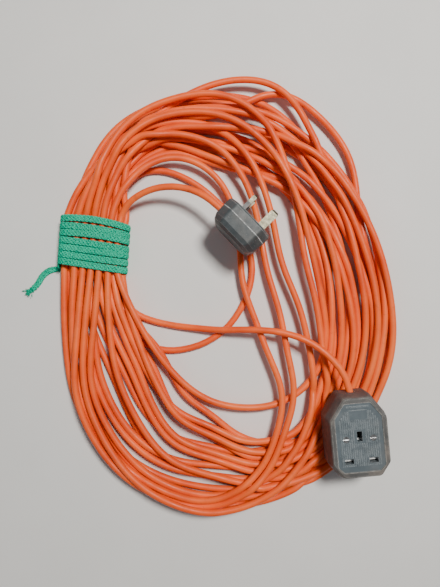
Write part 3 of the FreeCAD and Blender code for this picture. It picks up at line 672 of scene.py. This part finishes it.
def sheath_material():
    """Orange PVC: satin, a little faded in patches, with grey dust and fine scuffs."""
    made, tree, shader = fresh("cable_sheath_worn", roughness=0.45)
    where = place(tree)
    patches = ramp(tree, noise(tree, where, 28, 4), 0.34, 0.68, (0.72, 0.068, 0.006), (0.93, 0.130, 0.015))
    faded = span(tree, noise(tree, where, 9, 2), 0.50, 0.74, 0.0, 0.45)
    colour = blend_colours(tree, faded, patches, (0.94, 0.21, 0.045))
    grime = span(tree, noise(tree, where, 150, 6, 0.7), 0.58, 0.74, 0.0, 0.42)
    colour = blend_colours(tree, grime, colour, (0.30, 0.065, 0.022))
    scuffs = span(tree, noise(tree, where, 700, 3, 0.6), 0.64, 0.72, 0.0, 0.35)
    colour = blend_colours(tree, scuffs, colour, (0.92, 0.33, 0.15))
    join(tree, colour, 2, shader, "Base Color")
    shine = span(tree, noise(tree, where, 120, 4), 0.3, 0.7, 0.36, 0.60)
    join(tree, shine, 0, shader, "Roughness")
    emboss(tree, shader, noise(tree, where, 900, 3), 0.00012, 0.35)
    emboss(tree, shader, noise(tree, where, 60, 2), 0.0006, 0.4)
    shader.inputs["Specular IOR Level"].default_value = 0.35
    shader.inputs["Subsurface Weight"].default_value = 0.04
    shader.inputs["Subsurface Radius"].default_value = (0.004, 0.0012, 0.0005)
    return made


def plait_material():
    """Green polypropylene braid: bright filaments, darker and dusty in between."""
    made, tree, shader = fresh("tie_cord_braid", roughness=0.6)
    where = place(tree)
    strands = ramp(tree, noise(tree, where, 1100, 4, 0.7), 0.36, 0.62, (0.0, 0.11, 0.06), (0.0, 0.70, 0.42))
    pale = span(tree, noise(tree, where, 45, 3), 0.52, 0.72, 0.0, 0.30)
    colour = blend_colours(tree, pale, strands, (0.01, 0.75, 0.46))
    dirt = span(tree, noise(tree, where, 90, 5, 0.7), 0.60, 0.75, 0.0, 0.5)
    colour = blend_colours(tree, dirt, colour, (0.02, 0.10, 0.06))
    join(tree, colour, 2, shader, "Base Color")
    join(tree, span(tree, noise(tree, where, 500, 2), 0.3, 0.7, 0.45, 0.75), 0, shader, "Roughness")
    emboss(tree, shader, noise(tree, where, 2600, 3), 0.00015, 0.6)
    shader.inputs["Specular IOR Level"].default_value = 0.15
    return made


def edge_wear_and_highlight(tree, where, radius):
    """How much a point lies on an edge, broken up by noise: where rubbed wear goes, and on the plug body a
    painted edge highlight.
    """
    softened = add(tree, "Bevel", samples=6)
    softened.inputs["Radius"].default_value = radius
    flat = add(tree, "NewGeometry")
    alike = add(tree, "VectorMath", operation="DOT_PRODUCT")
    join(tree, softened, "Normal", alike, 0)
    join(tree, flat, "Normal", alike, 1)
    edge = span(tree, alike, 0.995, 0.86, 0.0, 1.0, output="Value")
    ragged = span(tree, noise(tree, where, 220, 5, 0.7), 0.36, 0.56, 0.15, 1.0)
    return pair_of(tree, "MULTIPLY", edge, ragged)


def pair_of(tree, operation, first, second):
    """A sum, product or the like of two values."""
    made = add(tree, "Math", operation=operation)
    join(tree, first, 0, made, 0)
    join(tree, second, 0, made, 1)
    return made


def moulded_material(name, dark, light, worn, radius=0.0010, dust=0.35, shine=(0.38, 0.62)):
    """Dark moulding: mottled, dusty in patches, paler along its edges: rubbed wear, and on the plug body a
    painted highlight.
    """
    made, tree, shader = fresh(name)
    where = place(tree)
    body = ramp(tree, noise(tree, where, 60, 5, 0.6), 0.30, 0.72, dark, light)
    dusty = span(tree, noise(tree, where, 34, 6, 0.72), 0.50, 0.72, 0.0, dust)
    colour = blend_colours(tree, dusty, body, (0.20, 0.17, 0.145))
    # Paler edges: rubbed wear on the jacket and plate, and a painted highlight along the plug body's edges.
    colour = blend_colours(tree, edge_wear_and_highlight(tree, where, radius), colour, worn)
    flecks = span(tree, noise(tree, where, 900, 3, 0.6), 0.66, 0.74, 0.0, 0.5)
    colour = blend_colours(tree, flecks, colour, worn)
    join(tree, colour, 2, shader, "Base Color")
    join(tree, span(tree, noise(tree, where, 110, 4), 0.3, 0.7, *shine), 0, shader, "Roughness")
    emboss(tree, shader, noise(tree, where, 1400, 2), 0.00010, 0.5)
    emboss(tree, shader, noise(tree, where, 130, 4, 0.6), 0.0004, 0.35)
    return made


def metal_material(name, dark, light, tarnish, rough=(0.22, 0.42)):
    """Bare metal: drawn grain, with tarnish in patches."""
    made, tree, shader = fresh(name, metallic=1.0)
    where = place(tree)
    grain = noise(tree, place(tree, stretch_by=(1, 1, 8)), 700, 3)
    body = ramp(tree, grain, 0.3, 0.7, dark, light)
    stained = span(tree, noise(tree, where, 260, 5, 0.7), 0.50, 0.70, 0.0, 0.7)
    colour = blend_colours(tree, stained, body, tarnish)
    join(tree, colour, 2, shader, "Base Color")
    join(tree, span(tree, noise(tree, where, 300, 4), 0.3, 0.7, *rough), 0, shader, "Roughness")
    emboss(tree, shader, grain, 0.00005, 0.5)
    return made


def plastic_material(name, dark, light, rough=(0.3, 0.5), stain=(0.25, 0.22, 0.19)):
    """Small light or coloured mouldings and insulation, with handling marks."""
    made, tree, shader = fresh(name)
    where = place(tree)
    body = ramp(tree, noise(tree, where, 180, 4), 0.3, 0.7, dark, light)
    marks = span(tree, noise(tree, where, 420, 5, 0.7), 0.56, 0.72, 0.0, 0.5)
    colour = blend_colours(tree, marks, body, stain)
    join(tree, colour, 2, shader, "Base Color")
    join(tree, span(tree, noise(tree, where, 350, 3), 0.3, 0.7, *rough), 0, shader, "Roughness")
    emboss(tree, shader, noise(tree, where, 1500, 2), 0.00006, 0.4)
    return made


def cad_materials():
    """One material for each of the record's slots that CAD nodes show."""
    return {
        "jacket_rubber": moulded_material(
            "jacket_rubber_worn", (0.045, 0.046, 0.047), (0.095, 0.095, 0.094), (0.34, 0.33, 0.31),
            radius=0.0016, dust=0.75, shine=(0.5, 0.75)),
        "moulding_dark": moulded_material(
            "moulding_dark_worn", (0.058, 0.078, 0.092), (0.105, 0.132, 0.150), (0.30, 0.34, 0.36),
            radius=0.0007, dust=0.22, shine=(0.35, 0.55)),
        # The plug body's pale edge colour is a painted highlight along its edges; the same colour also marks
        # its flecks.
        "plug_body": moulded_material(
            "plug_body_worn_and_edge_highlight", (0.028, 0.036, 0.040), (0.070, 0.084, 0.092), (0.62, 0.65, 0.65),
            radius=0.0011, dust=0.25),
        "shutter_grey": plastic_material(
            "shutter_grey_worn", (0.72, 0.75, 0.76), (0.88, 0.90, 0.90), stain=(0.50, 0.48, 0.45)),
        "insulation_black": plastic_material("insulation_black_worn", (0.02, 0.02, 0.02), (0.06, 0.06, 0.06)),
        "fuse_ceramic": plastic_material("fuse_ceramic_used", (0.70, 0.66, 0.58), (0.85, 0.82, 0.75)),
        "core_brown": plastic_material("core_brown_pvc", (0.10, 0.035, 0.012), (0.17, 0.06, 0.02)),
        "core_blue": plastic_material("core_blue_pvc", (0.010, 0.06, 0.32), (0.02, 0.12, 0.50)),
        "core_green": plastic_material("core_green_pvc", (0.02, 0.22, 0.05), (0.55, 0.50, 0.03)),
        "brass": metal_material(
            "brass_used", (0.11, 0.105, 0.075), (0.21, 0.20, 0.15), (0.09, 0.08, 0.055), rough=(0.35, 0.55)),
        "steel": metal_material("steel_used", (0.34, 0.35, 0.36), (0.58, 0.59, 0.60), (0.14, 0.11, 0.09)),
    }


def dress_cad_nodes():
    """Gives every CAD node the worn material of its slot, and returns the materials."""
    worn = cad_materials()
    for row in frame["record"]["subparts"]:
        if row["material_slot"] in worn:
            target = frame["nodes"][row["node"]]
            target.data.materials.clear()
            target.data.materials.append(worn[row["material_slot"]])
    return worn


# ------------------------------------------------------------------ the cable
def make_cable():
    """The whole orange cable as one smooth curve, from the socket to the plug."""
    line = settle_cable()
    cable = spline_curve("cable", line)
    cable.data.bevel_depth = CABLE_RADIUS * MM
    cable.data.bevel_resolution = 4
    cable.data.resolution_u = 3
    cable.data.use_fill_caps = True
    bpy.context.collection.objects.link(cable)
    cable.data.materials.append(sheath_material())
    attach(cable, "lead")
    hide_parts("cable_hank", "cable_plug_lead", "cable_socket_lead", "cable_inner_turn")


# ------------------------------------------------------------------ the tie
def oblong_point(share, half_width, half_height, corner):
    """A point on a rounded oblong, share (0 to 1) of the way round from its left end, over the
    top, and the direction outwards there."""
    flat = 2 * (half_width - corner)
    side = 2 * (half_height - corner)
    arc = math.pi * corner / 2
    run = (share % 1.0) * (2 * flat + 2 * side + 4 * arc)
    pieces = (
        (side / 2, (-half_width, 0), (0, 1), None),
        (arc, None, None, ((-half_width + corner, half_height - corner), math.pi)),
        (flat, (-half_width + corner, half_height), (1, 0), None),
        (arc, None, None, ((half_width - corner, half_height - corner), math.pi / 2)),
        (side, (half_width, half_height - corner), (0, -1), None),
        (arc, None, None, ((half_width - corner, -half_height + corner), 0.0)),
        (flat, (half_width - corner, -half_height), (-1, 0), None),
        (arc, None, None, ((-half_width + corner, -half_height + corner), -math.pi / 2)),
        (side / 2 + NEARLY_ZERO, (-half_width, -half_height + corner), (0, 1), None),
    )
    for length, start, heading, turn in pieces:
        if run <= length:
            break
        run -= length
    if turn is None:
        point = (start[0] + heading[0] * run, start[1] + heading[1] * run)
        return point, (-heading[1], heading[0])
    centre, angle = turn
    angle -= run / corner
    normal = (math.cos(angle), math.sin(angle))
    return (centre[0] + corner * normal[0], centre[1] + corner * normal[1]), normal


def tie_wraps():
    """The wraps' points, TIE_POINTS to a turn, and the direction out of the flat face at each."""
    outward, along = tie_frame()
    centre = np.array(TIE_CENTRE)
    half_width = (TIE_WIDTH - TIE_CORD_THICKNESS) / 2
    half_height = (TIE_HEIGHT - TIE_CORD_THICKNESS) / 2 - TIE_HEIGHT_SLACK
    first_shift = TIE_WRAPS * TIE_PITCH / 2 - TIE_CORD_WIDTH / 2 - TIE_END_GAP
    wobble = random.Random(TIE_SEED)
    drift = [wobble.uniform(-TIE_DRIFT, TIE_DRIFT) for _ in range(TIE_WRAPS)]
    first_bow, less_bow, uneven = TIE_BOW
    bow = [first_bow - less_bow * k + wobble.uniform(-uneven, uneven) for k in range(TIE_WRAPS)]
    points, faces = [], []
    for k in range(int((TIE_WRAPS - TIE_SHORT) * TIE_POINTS)):
        whole, share = divmod(k / TIE_POINTS, 1.0)
        whole = int(whole)
        (across, height), (nx, nz) = oblong_point(share, half_width, half_height, TIE_CORNER)
        top = min(1.0, max(0.0, (across / half_width + 1) / 2))
        if height > 0:
            fall = TIE_SLANT * top
        else:
            fall = TIE_SLANT + (TIE_PITCH - TIE_SLANT) * (1 - top)
        shift = TIE_SQUEEZE * (first_shift - whole * TIE_PITCH - fall)
        shift += drift[whole] * math.sin(math.pi * share) ** 2
        if height > 0:
            shift += bow[whole] * math.sin(math.pi * top)
        ground = centre - outward * across + along * shift
        points.append((ground[0], ground[1], TIE_HEIGHT / 2 + height))
        faces.append((-outward[0] * nx, -outward[1] * nx, nz))
    return points, faces


def spline_curve(name, points):
    """A curve object whose one NURBS spline has points, in millimetres, as its control points."""
    curve = bpy.data.curves.new(name, "CURVE")
    curve.dimensions = "3D"
    spline = curve.splines.new("NURBS")
    spline.points.add(len(points) - 1)
    for control, point in zip(spline.points, points):
        control.co = (point[0] * MM, point[1] * MM, point[2] * MM, 1.0)
    spline.order_u = 3
    spline.use_endpoint_u = True
    return bpy.data.objects.new(name, curve)


def read_spline(made):
    """The points, in millimetres, that Blender gives along a curve object with no bevel."""
    mesh = bpy.data.meshes.new_from_object(made)
    line = np.array([tuple(v.co) for v in mesh.vertices]) / MM
    bpy.data.meshes.remove(mesh)
    return line


def tie_line():
    """Points read along the tie's spline, from its first wrap to the end of its tail, and the
    direction out of the flat face at each. The tail's face is turned down."""
    points, faces = tie_wraps()
    points += TIE_TAIL
    faces += [(0.0, 0.0, -1.0)] * len(TIE_TAIL)
    guide = spline_curve("tie_guide", points)
    guide.data.resolution_u = 4
    line = read_spline(guide)
    bpy.data.objects.remove(guide)
    inner = np.arange(len(points) - 2) + 0.5
    knots = np.concatenate([[0.0], inner, [len(points) - 2.0]])[:len(points)]
    at = np.linspace(0, len(points) - 2, len(line))
    faces = np.array(faces)
    return line, np.column_stack([np.interp(at, knots, faces[:, c]) for c in range(3)])


def frame_along(line, faces):
    """Directions along a line, across its flat face and out of it."""
    ahead = np.gradient(line, axis=0)
    ahead /= np.linalg.norm(ahead, axis=1)[:, None]
    across = np.cross(faces, ahead)
    across /= np.linalg.norm(across, axis=1)[:, None]
    return ahead, across, np.cross(ahead, across)


def upright(line):
    """The direction straight up, for each point of a line."""
    return np.tile([0.0, 0.0, 1.0], (len(line), 1))


def sweep(mesh, line, across, out, half_width, half_height, sides):
    """Adds an oval tube along a line to a bmesh, with closed ends."""
    rings = []
    for point, wide, high in zip(line, across, out):
        ring = []
        for s in range(sides):
            angle = 2 * math.pi * s / sides
            spot = point + wide * half_width * math.cos(angle) + high * half_height * math.sin(angle)
            ring.append(mesh.verts.new(spot * MM))
        rings.append(ring)
    for one, two in zip(rings, rings[1:]):
        for s in range(sides):
            mesh.faces.new((one[s], one[(s + 1) % sides], two[(s + 1) % sides], two[s]))
    mesh.faces.new(tuple(reversed(rings[0])))
    mesh.faces.new(tuple(rings[-1]))


def yarn_course(yarn, run, line, across, out):
    """One yarn's line round the core. Half the yarns go one way round and half the other, and
    each goes over and under the others."""
    way = 1 if yarn % 2 else -1
    phase = 2 * math.pi * (yarn // 2) / (YARNS / 2) + (YARN_OFFSET if way > 0 else 0)
    angle = phase + way * 2 * math.pi * run / PLAIT_LENGTH
    over = YARN_WEAVE * np.sin(YARNS / 2 * angle + (math.pi if way > 0 else 0))
    side = (TIE_CORD_WIDTH / 2 - YARN_RADIUS) * np.cos(angle)
    height = (TIE_CORD_THICKNESS / 2 - CORE_HALF_HEIGHT) * np.sin(angle) + over * np.sign(np.sin(angle))
    return line + across * side[:, None] + out * height[:, None]


def make_tie():
    """The green tie: a flat plait of yarns round a thin core, wound round the neck, with a
    frayed end."""
    line, faces = tie_line()
    ahead, across, out = frame_along(line, faces)
    mesh = bmesh.new()
    core_half_width = TIE_CORD_WIDTH / 2 - CORE_INSET
    sweep(mesh, line[::2], across[::2], out[::2], core_half_width, CORE_HALF_HEIGHT, CORE_SIDES)
    gaps = np.linalg.norm(np.diff(line, axis=0), axis=1)
    run = np.concatenate([[0], np.cumsum(gaps)])
    for yarn in range(YARNS):
        course = yarn_course(yarn, run, line, across, out)
        _, wide, high = frame_along(course, out)
        sweep(mesh, course, wide, high, YARN_RADIUS * YARN_WIDE, YARN_RADIUS * YARN_HIGH, YARN_SIDES)
    mesh.normal_update()
    tie = mesh_object("tie_cord", mesh, plait_material())
    fray = make_fray(line[-1], ahead[-1], tie.data.materials[0])
    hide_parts("tie_windings", "tie_tail")


def make_fray(end, heading, material):
    """The loose filaments at the tail's cut end."""
    mesh = bmesh.new()
    loose = random.Random(FRAY_SEED)
    base = math.atan2(heading[1], heading[0])
    for _ in range(FILAMENTS):
        angle = base + loose.uniform(-FRAY_SPREAD, FRAY_SPREAD)
        reach = loose.uniform(*FRAY_REACH)
        lift = loose.uniform(0.0, FRAY_LIFT)
        side = loose.uniform(-FRAY_SIDE, FRAY_SIDE)
        bow = loose.uniform(-FRAY_BOW, FRAY_BOW)
        course = []
        for k in range(FILAMENT_STEPS + 1):
            t = k / FILAMENT_STEPS
            x = end[0] + math.cos(angle) * reach * t - math.sin(base) * side + bow * t * t
            y = end[1] + math.sin(angle) * reach * t + math.cos(base) * side - bow * t * t
            z = FRAY_FLOOR + lift * math.sin(math.pi * t * FRAY_ARCH) + FRAY_FALL * abs(side) * (1 - t)
            course.append((x, y, z))
        course = np.array(course)
        _, wide, high = frame_along(course, upright(course))
        sweep(mesh, course, wide, high, FILAMENT_HALF_WIDTH, FILAMENT_HALF_HEIGHT, FILAMENT_SIDES)
    fray = mesh_object("tie_fray", mesh, material)
    return fray


def make_shutter_spring(steel):
    """The return spring in the socket: a steel strip in folds, which in the real socket close as the shutter
    slides back. It fills the box of the CAD spring."""
    low, high = (np.array(corner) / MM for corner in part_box("socket_shutter_spring"))
    middle = (low + high) / 2
    half_width = (high[0] - low[0] - SPRING_STRIP) / 2
    length = high[1] - low[1] - SPRING_STRIP
    steps = SPRING_FOLDS * SPRING_POINTS
    course = []
    for k in range(steps + 1):
        swing = math.cos(math.pi * k / SPRING_POINTS)
        x = middle[0] + half_width * swing
        y = high[1] - SPRING_STRIP / 2 - length * k / steps
        course.append((x, y, middle[2]))
    course = np.array(course)
    _, across, out = frame_along(course, upright(course))
    mesh = bmesh.new()
    sweep(mesh, course, across, out, SPRING_STRIP / 2, (high[2] - low[2]) / 2, SPRING_SIDES)
    spring = mesh_object("shutter_spring", mesh, steel)
    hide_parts("socket_shutter_spring")
    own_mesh(spring)


def mesh_object(name, mesh, material):
    """A smooth-shaded object that rides with the lead, made from a bmesh."""
    data = bpy.data.meshes.new(name)
    mesh.to_mesh(data)
    mesh.free()
    data.shade_smooth()
    made = bpy.data.objects.new(name, data)
    bpy.context.collection.objects.link(made)
    data.materials.append(material)
    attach(made, "lead")
    return made


# ------------------------------------------------------------------ floor, lights and camera
def make_floor():
    """A plain pale floor."""
    mesh = bmesh.new()
    bmesh.ops.create_grid(mesh, x_segments=2, y_segments=2, size=FLOOR_HALF)
    data = bpy.data.meshes.new("floor")
    mesh.to_mesh(data)
    mesh.free()
    floor = bpy.data.objects.new("floor", data)
    bpy.context.collection.objects.link(floor)
    made, tree, shader = fresh("floor_paper", roughness=0.9)
    tone = ramp(tree, noise(tree, place(tree), 12, 3), 0.3, 0.7, (0.70, 0.70, 0.69), (0.73, 0.73, 0.72))
    join(tree, tone, 0, shader, "Base Color")
    data.materials.append(made)


def make_light(name, location, size, power, colour):
    """A square soft light aimed at the middle of the hank."""
    light = bpy.data.lights.new(name, "AREA")
    light.energy = power
    light.size = size
    light.color = colour
    made = bpy.data.objects.new(name, light)
    made.location = location
    aim = Vector(LIGHT_AIM) - Vector(location)
    made.rotation_euler = aim.to_track_quat("-Z", "Y").to_euler()
    bpy.context.collection.objects.link(made)


def light_scene():
    """A warm key light from the upper right, a weak cool fill light, and a dim room."""
    make_light("key", location=(0.42, 0.46, 1.25), size=0.26, power=26, colour=(1.0, 0.96, 0.90))
    make_light("fill", location=(-0.8, -0.3, 1.2), size=1.0, power=1.8, colour=(0.92, 0.96, 1.0))
    world = bpy.data.worlds.new("studio")
    world.use_nodes = True
    background = world.node_tree.nodes["Background"]
    background.inputs["Color"].default_value = WORLD_COLOUR
    background.inputs["Strength"].default_value = WORLD_STRENGTH
    bpy.context.scene.world = world


def place_camera():
    """Straight above the hank, and turned a little."""
    data = bpy.data.cameras.new("camera")
    data.sensor_width = CAMERA_SENSOR
    data.sensor_fit = "AUTO"
    data.lens = CAMERA_LENS
    data.clip_start = CAMERA_CLIP
    camera = bpy.data.objects.new("camera", data)
    camera.location = CAMERA_PLACE
    camera.rotation_euler = (0, 0, -CAMERA_TURN)
    bpy.context.collection.objects.link(camera)
    bpy.context.scene.camera = camera


place_camera()
light_scene()
make_floor()
materials = dress_cad_nodes()
make_cable()
make_tie()
make_shutter_spring(materials["steel"])
